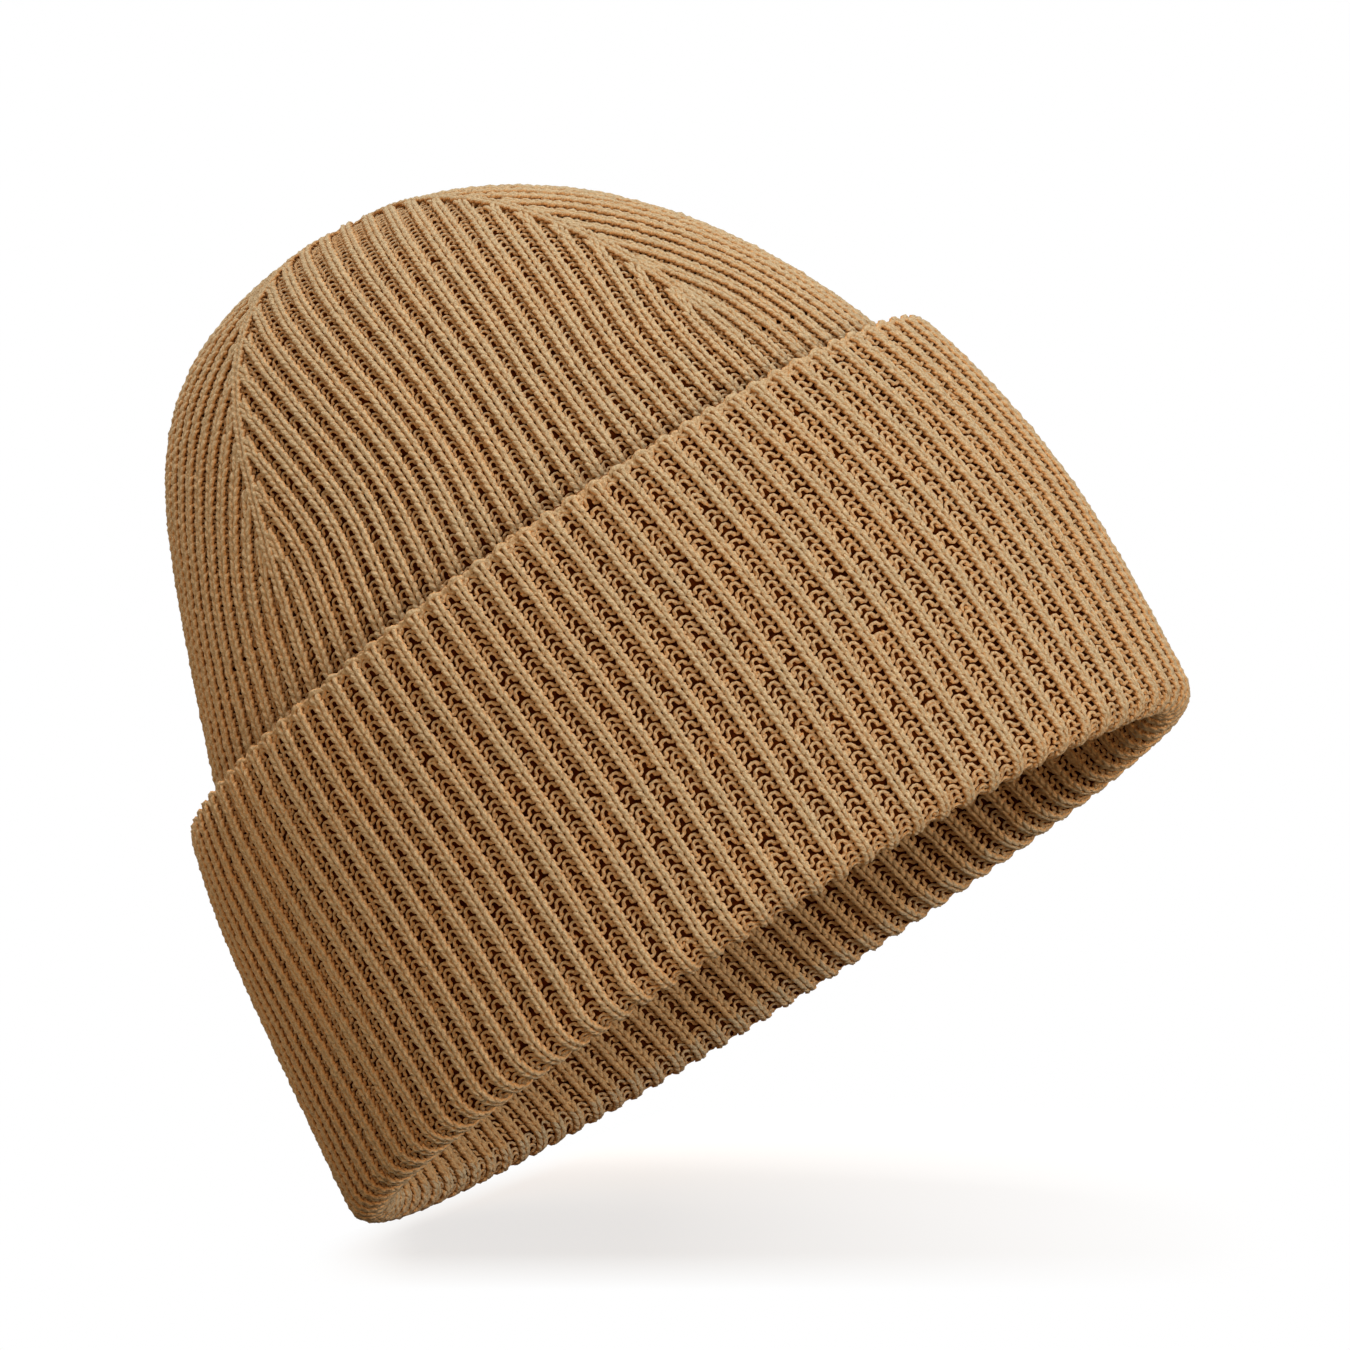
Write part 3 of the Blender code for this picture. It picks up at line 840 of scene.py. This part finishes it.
look, right, up = cameraAxes()
target = Vector(shot["target"]) + Vector((axisX, 0, 0))
place = target - look * shot["distance"]
focal = shot["lens"] / shot["sensor"] * shot["frame"]
dx = (shot["targetPixel"][0] - shot["frame"] / 2) / focal
dy = (shot["frame"] / 2 - shot["targetPixel"][1]) / focal
aim = (look - right * dx - up * dy).normalized()
aimRight = (right - aim * right.dot(aim)).normalized()
aimUp = aimRight.cross(aim)
camera = bpy.data.objects.new("camera", bpy.data.cameras.new("camera"))
camera.data.lens = shot["lens"]
camera.data.sensor_width = shot["sensor"]
camera.data.clip_end = 50
turned = Matrix((aimRight, aimUp, -aim)).transposed().to_4x4()
camera.matrix_world = Matrix.Translation(place) @ turned
bpy.context.scene.collection.objects.link(camera)
bpy.context.scene.camera = camera

# floor under the rolled hat, level in the photo, white beyond the soft shadow
floorLook = {
    "tilt": 7.5,
    "shift": 0.060,
    "wide": 0.300,
    "deep": 0.340,
    "fades": (("X", 0.13, 0.20), ("X", 0.82, 0.36), ("Y", 0.30, 0.41), ("Y", 0.90, 0.79)),
    "glow": 0.655,
    "colour": (0.37, 0.37, 0.37, 1.0),
    "thrown": (0.22, 0.12, 0.055, 1.0),
    "roughness": 0.9,
    "steps": 81,
    "clear": 0.0015,  # gap under the hat
    "rise": 0.0045,  # it fades out up to this height and ends there
    "riseFade": 0.0060,
    "lastStart": 0.4,  # and always keeps a tenth of its width
}


def makeFloor():
    tilt = math.radians(floorLook["tilt"])
    normal = (aimUp * math.cos(tilt) - aim * math.sin(tilt)).normalized()
    back = (aim * math.cos(tilt) + aimUp * math.sin(tilt)).normalized()
    lowest = 1e9
    for piece in bpy.data.objects:
        if piece.type == "MESH" and len(piece.data.vertices):
            co = np.zeros(len(piece.data.vertices) * 3, np.float32)
            piece.data.vertices.foreach_get("co", co)
            lowest = min(lowest, float((co.reshape(-1, 3) @ np.array(normal)).min()))
    middle = target + aimRight * floorLook["shift"]
    middle = middle + normal * (lowest - floorLook["clear"] - middle.dot(normal))
    away = np.linspace(-0.5, 0.5, floorLook["steps"])
    # it ends where it would rise past the rim, so that it hides none of the hat from behind
    level = middle.z + back.z * away * floorLook["deep"]
    first = (floorLook["rise"] - level) / (aimRight.z * floorLook["wide"])
    first = np.clip(first, -0.5, floorLook["lastStart"])
    along = first[:, None] + (0.5 - first[:, None]) * np.linspace(0, 1, floorLook["steps"])
    points = np.array(aimRight) * (along * floorLook["wide"])[..., None]
    points = np.array(middle) + points + np.array(back) * (away * floorLook["deep"])[:, None, None]
    # fades to plain white at its edges
    place = {"X": along + 0.5, "Y": away[:, None] + 0.5}
    shown = np.clip((floorLook["rise"] - points[..., 2]) / floorLook["riseFade"], 0, 1)
    for axis, low, high in floorLook["fades"]:
        shown = shown * np.clip((place[axis] - low) / (high - low), 0, 1)
    mesh = bpy.data.meshes.new("floor")
    mesh.from_pydata(points.reshape(-1, 3).tolist(), [], gridFaces(*along.shape).tolist())
    mesh.attributes.new("shown", "FLOAT", "POINT").data.foreach_set("value", shown.reshape(-1))
    floor = bpy.data.objects.new("floor", mesh)
    bpy.context.scene.collection.objects.link(floor)
    material = bpy.data.materials.new("white_floor")
    material.use_nodes = True
    nodes = material.node_tree.nodes
    links = material.node_tree.links
    shader = nodes["Principled BSDF"]
    shader.inputs["Roughness"].default_value = floorLook["roughness"]
    shader.inputs["Specular IOR Level"].default_value = 0.0
    fading = nodes.new("ShaderNodeAttribute")
    fading.attribute_name = "shown"
    fade = fading.outputs["Fac"]
    colour = nodes.new("ShaderNodeMix")
    colour.data_type = "RGBA"
    colour.inputs["A"].default_value = (0, 0, 0, 1)
    links.new(fade, colour.inputs["Factor"])
    # light it throws back up takes the colour of the yarn
    rays = nodes.new("ShaderNodeLightPath")
    bounce = nodes.new("ShaderNodeMix")
    bounce.data_type = "RGBA"
    bounce.inputs["A"].default_value = floorLook["thrown"]
    bounce.inputs["B"].default_value = floorLook["colour"]
    links.new(rays.outputs["Is Camera Ray"], bounce.inputs["Factor"])
    links.new(bounce.outputs["Result"], colour.inputs["B"])
    links.new(colour.outputs["Result"], shader.inputs["Base Color"])
    glow = nodes.new("ShaderNodeMapRange")
    glow.inputs["To Min"].default_value = 1.0
    glow.inputs["To Max"].default_value = floorLook["glow"]
    links.new(fade, glow.inputs["Value"])
    seen = nodes.new("ShaderNodeMath")
    seen.operation = "MULTIPLY"
    links.new(rays.outputs["Is Camera Ray"], seen.inputs[0])
    links.new(glow.outputs["Result"], seen.inputs[1])
    shader.inputs["Emission Color"].default_value = (1, 1, 1, 1)
    links.new(seen.outputs[0], shader.inputs["Emission Strength"])
    mesh.materials.append(material)


# from is to the right of the photo's frame, up it and towards the camera
lamps = {
    "key": {
        "from": (1.0, 0.32, 0.95), "distance": 1.5, "size": 0.6,
        "power": 12.3, "colour": (0.98, 0.99, 1.0),
    },
    "top": {
        "from": (-0.15, 1.0, 0.10), "distance": 1.3, "size": 0.6,
        "power": 13.4, "colour": (0.98, 0.99, 1.0),
    },
    "fill": {
        "from": (-0.8, 0.0, 1.0), "distance": 1.8, "size": 1.2,
        "power": 2.0, "colour": (1.0, 0.72, 0.48),
    },
    "low": {
        "from": (0.25, -0.10, 1.0), "distance": 1.4, "size": 0.5,
        "power": 3.0, "colour": (1.0, 0.72, 0.46),
    },
    "back": {
        "from": (-0.5, 0.5, -1.0), "distance": 1.8, "size": 1.2,
        "power": 7.5, "colour": (1.0, 0.94, 0.86),
    },
}
studio = {"tint": (1.0, 0.70, 0.45, 1.0), "strength": 0.54}


def makeLights():
    for name, lamp in lamps.items():
        side, high, near = lamp["from"]
        direction = (aimRight * side + aimUp * high - aim * near).normalized()
        light = bpy.data.lights.new(name, "AREA")
        light.energy = lamp["power"]
        light.color = lamp["colour"]
        light.size = lamp["size"]
        holder = bpy.data.objects.new(name, light)
        spot = target + direction * lamp["distance"]
        facing = direction.to_track_quat("Z", "Y").to_matrix().to_4x4()
        holder.matrix_world = Matrix.Translation(spot) @ facing
        bpy.context.scene.collection.objects.link(holder)
    world = bpy.data.worlds.new("studio")
    world.use_nodes = True
    nodes = world.node_tree.nodes
    links = world.node_tree.links
    background = nodes["Background"]
    tint = nodes.new("ShaderNodeMix")
    tint.data_type = "RGBA"
    tint.inputs["A"].default_value = studio["tint"]
    tint.inputs["B"].default_value = (1.0, 1.0, 1.0, 1.0)
    links.new(tint.outputs["Result"], background.inputs["Color"])
    # plain white where it is seen, softer and warmer as light
    rays = nodes.new("ShaderNodeLightPath")
    seen = nodes.new("ShaderNodeMath")
    seen.operation = "MAXIMUM"
    links.new(rays.outputs["Is Camera Ray"], seen.inputs[0])
    links.new(rays.outputs["Is Transmission Ray"], seen.inputs[1])
    strength = nodes.new("ShaderNodeMix")
    strength.inputs["A"].default_value = studio["strength"]
    strength.inputs["B"].default_value = 1.0
    links.new(seen.outputs[0], strength.inputs["Factor"])
    links.new(seen.outputs[0], tint.inputs["Factor"])
    links.new(strength.outputs["Result"], background.inputs["Strength"])
    bpy.context.scene.world = world


makeFloor()
makeLights()
bpy.context.scene.view_settings.view_transform = "Standard"
print("camera, floor and lights set")
